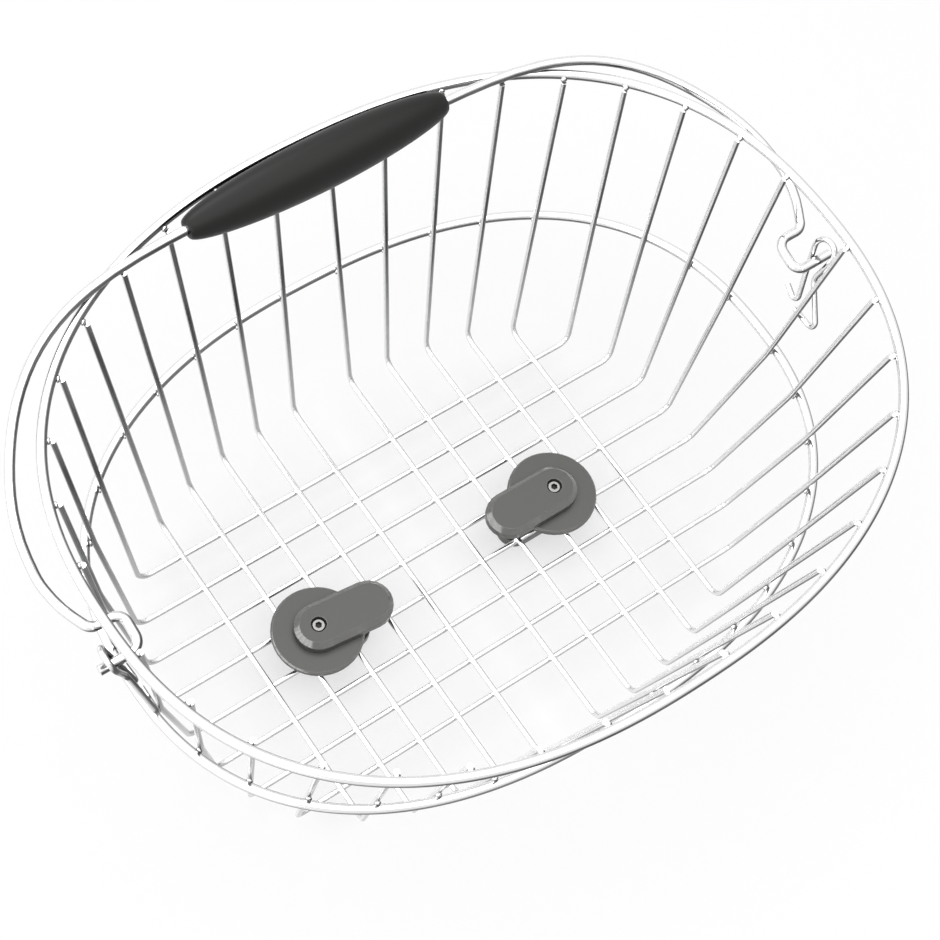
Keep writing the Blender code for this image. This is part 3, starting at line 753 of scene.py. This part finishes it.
class BASKET_OT_grip(Operator):
    """Shape the soft spindle sleeve on the bail"""
    bl_idname = "basket.grip"
    bl_label = "Grip"

    def execute(self, context):
        wires, grip = context.scene.basket_wire, context.scene.basket_grip
        low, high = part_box("handle_grip")
        middle = (low + high) / 2.0
        bail = smooth_path(centre_line("handle_bail", wires.cap_angle), wires.bend_step)
        bail = np.array([tuple(point) for point in bail])
        reach = np.r_[0.0, np.cumsum(np.linalg.norm(np.diff(bail, axis=0), axis=1))]
        fine = np.linspace(0.0, reach[-1], grip.stations ** 2)
        gaps = np.linalg.norm(points_at(bail, reach, fine) - np.array(middle), axis=1)
        share = (1.0 - np.cos(np.linspace(0.0, pi, grip.stations))) / 2.0
        path = points_at(bail, reach, fine[gaps.argmin()] + (share - 0.5) * grip.length)
        swell = np.clip(4.0 * share * (1.0 - share), 0.0, 1.0) ** grip.swell
        girth = (grip.end + (grip.girth - grip.end) * swell) / 2.0
        girth[0] = girth[-1] = wires.thick / 2.0
        mesh = path_mesh("grip_path", [Vector(point) for point in path])
        mesh.attributes.new("girth", "FLOAT", "POINT").data.foreach_set("value", girth)
        soft = finish_material("soft black grip", grip.colour, SOFT_SLEEVE)
        sleeve = with_nodes("soft_grip", mesh, spindle_tree(), sides=grip.sides, finish=soft)
        piece("soft_grip", sleeve, "handle", "soft_black_grip", "handle_grip")
        return {"FINISHED"}


def moulded(node, material, edge, edge_angle, chamfer=0.0):
    """A smooth copy of a CAD node with softened edges and, where asked, a plain top chamfer."""
    mesh = merged(node)
    bmesh.ops.dissolve_limit(mesh, angle_limit=FLAT_ANGLE, verts=mesh.verts, edges=mesh.edges)
    if chamfer:
        top = max(vert.co.z for vert in mesh.verts)
        ring = {vert for vert in mesh.verts if top - chamfer + MERGE < vert.co.z < top - MERGE}
        inner = [line for line in mesh.edges if set(line.verts) <= ring]
        bmesh.ops.dissolve_edges(mesh, edges=inner, use_verts=True)
    data = bpy.data.meshes.new(f"{node}_finish")
    mesh.to_mesh(data)
    mesh.free()
    data.shade_smooth()
    data.materials.append(material)
    start = linked(data.name, data)
    soften = start.modifiers.new("edges", "BEVEL")
    soften.width = edge
    soften.segments = EDGE_SEGMENTS
    soften.limit_method = "ANGLE"
    soften.angle_limit = edge_angle
    flatten = start.modifiers.new("normals", "WEIGHTED_NORMAL")
    flatten.weight = FLAT_FACE_WEIGHT
    return finished_mesh(start)


def socket_faces(mesh, width):
    """The faces inside a screw's hexagon socket."""
    points = np.array([tuple(vert.co) for vert in mesh.vertices])
    axis = (points.min(axis=0) + points.max(axis=0)) / 2.0
    top = points[:, 2].max()
    faces = []
    for face in mesh.polygons:
        middle = np.array(face.center)
        inside = np.linalg.norm((middle - axis)[:2]) < width / 2.0
        if inside and top - width < middle[2] < top - MERGE:
            faces.append(face)
    return faces


def sloping_faces(mesh):
    """The sloping faces of the upper edges."""
    return [face for face in mesh.polygons if SLOPE_STEEP < face.normal.z < SLOPE_LEVEL]


def repaint(mesh, faces, material):
    """Give some faces of a mesh a material of their own."""
    mesh.materials.append(material)
    for face in faces:
        face.material_index = len(mesh.materials) - 1


class BASKET_OT_clamps(Operator):
    """Finish the clamp discs, levers, claws, screws and nuts"""
    bl_idname = "basket.clamps"
    bl_label = "Clamps"

    def execute(self, context):
        clamp = context.scene.basket_clamp
        plastic = finish_material("grey moulded plastic", clamp.plastic, MOULDING)
        # Sloping edges are glossier and lighter in colour; the lighter colour is a painted highlight
        painted_light = finish_material("glossy plastic edge with painted highlight", clamp.edge_highlight, GLOSSY_EDGE)
        steel = finish_material("zinc plated screw", clamp.steel, ZINC)
        # Painted shade: a dark colour inside the screw sockets
        socket_shade = finish_material("painted shade in socket", clamp.socket, ROUGH_ZINC)
        for side in SIDES:
            for part, material, slot, body in (
                    ("disc", plastic, "grey_clamp_plastic", "basket"),
                    ("lever", plastic, "grey_clamp_plastic", f"{side}_turn"),
                    ("claw", plastic, "grey_clamp_plastic", f"{side}_turn"),
                    ("screw", steel, "screw_steel", f"{side}_turn"),
                    ("nut", steel, "screw_steel", f"{side}_turn")):
                node = f"{side}_clamp_{part}"
                chamfer = clamp.chamfer if part == "lever" else 0.0
                mesh = moulded(node, material, clamp.edge, clamp.edge_angle, chamfer)
                if part == "screw":
                    repaint(mesh, socket_faces(mesh, clamp.socket_width), socket_shade)
                if part in ("disc", "lever"):
                    repaint(mesh, sloping_faces(mesh), painted_light)
                piece(f"{node}_finish", mesh, body, slot, node)
        return {"FINISHED"}


def seen_rays(tree):
    """A mask of the rays that see the background directly, in metal or through glass."""
    rays = new_node(tree, "ShaderNodeLightPath")
    seen = new_node(tree, "ShaderNodeMath", operation="MAXIMUM")
    shown = new_node(tree, "ShaderNodeMath", operation="MAXIMUM")
    chain(
        tree,
        (rays, "Is Camera Ray", seen, 0),
        (rays, "Is Glossy Ray", seen, 1),
        (seen, 0, shown, 0),
        (rays, "Is Transmission Ray", shown, 1),
    )
    return shown


def stage_floor(stage, level):
    """The pale floor under the object, which turns plain white with distance."""
    mesh = bpy.data.meshes.new("floor")
    half = stage.floor_size / 2.0
    corners = [(x * half, y * half, level) for x, y in ((-1, -1), (1, -1), (1, 1), (-1, 1))]
    mesh.from_pydata(corners, [], [(0, 1, 2, 3)])
    paper = bpy.data.materials.new("pale floor")
    paper.use_nodes = True
    tree = paper.node_tree
    shader = tree.nodes["Principled BSDF"]
    shader.inputs["Base Color"].default_value = (*stage.floor, 1.0)
    shader.inputs["Roughness"].default_value = FLOOR_ROUGHNESS
    shader.inputs["Specular IOR Level"].default_value = 0.0
    glow = new_node(tree, "ShaderNodeEmission")
    blend = new_node(tree, "ShaderNodeMixShader")
    place = new_node(tree, "ShaderNodeTexCoord")
    reach = new_node(tree, "ShaderNodeVectorMath", operation="LENGTH")
    white = new_node(tree, "ShaderNodeMapRange",
                     {"From Min": stage.shade_start, "From Max": stage.shade_reach,
                      "To Min": stage.paper, "To Max": 1.0})
    share = new_node(tree, "ShaderNodeMath", operation="MULTIPLY")
    chain(
        tree,
        (place, "Object", reach, 0),
        (reach, "Value", white, "Value"),
        (seen_rays(tree), 0, share, 0),
        (white, "Result", share, 1),
        (share, 0, blend, 0),
        (shader, "BSDF", blend, 1),
        (glow, "Emission", blend, 2),
        (blend, "Shader", tree.nodes["Material Output"], "Surface"),
    )
    mesh.materials.append(paper)
    floor = linked("floor", mesh)


def stage_sky(stage):
    """A white background that shows in metal too, and a softer fill on everything else."""
    world = bpy.data.worlds.new("studio")
    bpy.context.scene.world = world
    world.use_nodes = True
    tree = world.node_tree
    glow = tree.nodes["Background"]
    glow.inputs["Color"].default_value = (1.0, 1.0, 1.0, 1.0)
    strength = new_node(tree, "ShaderNodeMapRange", {"To Min": stage.fill, "To Max": 1.0})
    chain(
        tree,
        (seen_rays(tree), 0, strength, "Value"),
        (strength, "Result", glow, "Strength"),
    )


def stage_light(name, lamp, power, lights=True):
    """One soft area light, or a light card that only shows in reflections."""
    light = bpy.data.lights.new(name, "AREA")
    light.shape = "ELLIPSE"
    light.size = lamp.width
    light.size_y = lamp.height
    light.energy = power
    made = linked(name, light)
    made.location = lamp.place
    aim = Vector(lamp.target) - Vector(lamp.place)
    made.rotation_euler = aim.to_track_quat("-Z", "Y").to_euler()
    made.visible_diffuse = lights


def stage_camera(stage):
    """The camera at its place, turned by its heading, dip and roll."""
    onward, drop = cos(stage.dip), sin(stage.dip)
    ahead = Vector((sin(stage.heading) * onward, cos(stage.heading) * onward, -drop))
    level = Vector((cos(stage.heading), -sin(stage.heading), 0.0))
    below = ahead.cross(level)
    right = level * cos(stage.roll) + below * sin(stage.roll)
    down = below * cos(stage.roll) - level * sin(stage.roll)
    lens = bpy.data.cameras.new("camera")
    lens.lens = stage.lens
    lens.sensor_width = SENSOR_WIDTH
    camera = linked("camera", lens)
    turn = Matrix((right, -down, -ahead)).transposed().to_4x4()
    camera.matrix_world = Matrix.Translation(stage.place) @ turn
    bpy.context.scene.camera = camera


class BASKET_OT_stage(Operator):
    """Set the pale floor, the soft studio light and the camera"""
    bl_idname = "basket.stage"
    bl_label = "Stage"

    def execute(self, context):
        stage = context.scene.basket_stage
        stage_floor(stage, CAD_BOX[0].z - MERGE)
        stage_sky(stage)
        stage_light("overhead", OVERHEAD, stage.key)
        stage_light("card", CARD, stage.card, lights=False)
        stage_light("sheen", SHEEN, stage.sheen, lights=False)
        stage_camera(stage)
        context.scene.view_settings.view_transform = "Standard"
        return {"FINISHED"}


STEPS = (BASKET_OT_wires, BASKET_OT_rings, BASKET_OT_welds, BASKET_OT_handle, BASKET_OT_grip,
         BASKET_OT_clamps, BASKET_OT_stage)
GROUPS = {"basket_wire": BasketWireSettings, "basket_grip": BasketGripSettings,
          "basket_clamp": BasketClampSettings, "basket_stage": BasketStageSettings}


class BASKET_PT_panel(Panel):
    """The basket's steps and settings in the 3D view's sidebar"""
    bl_idname = "BASKET_PT_panel"
    bl_label = "Rack basket"
    bl_space_type = "VIEW_3D"
    bl_region_type = "UI"
    bl_category = "Basket"

    def draw(self, context):
        for step in STEPS:
            self.layout.operator(step.bl_idname)
        for name, group in GROUPS.items():
            box = self.layout.box()
            for field in group.__annotations__:
                box.prop(getattr(context.scene, name), field)


def register():
    """Add the classes and their settings."""
    for kind in (*GROUPS.values(), *STEPS, BASKET_PT_panel):
        bpy.utils.register_class(kind)
    for name, group in GROUPS.items():
        setattr(bpy.types.Scene, name, PointerProperty(type=group))


def unregister():
    """Take the classes and their settings away."""
    for name in GROUPS:
        delattr(bpy.types.Scene, name)
    for kind in reversed((*GROUPS.values(), *STEPS, BASKET_PT_panel)):
        bpy.utils.unregister_class(kind)


def main():
    """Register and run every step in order."""
    register()
    bpy.ops.basket.wires()
    bpy.ops.basket.rings()
    bpy.ops.basket.welds()
    bpy.ops.basket.handle()
    bpy.ops.basket.grip()
    bpy.ops.basket.clamps()
    bpy.ops.basket.stage()


if __name__ == "__main__":
    main()
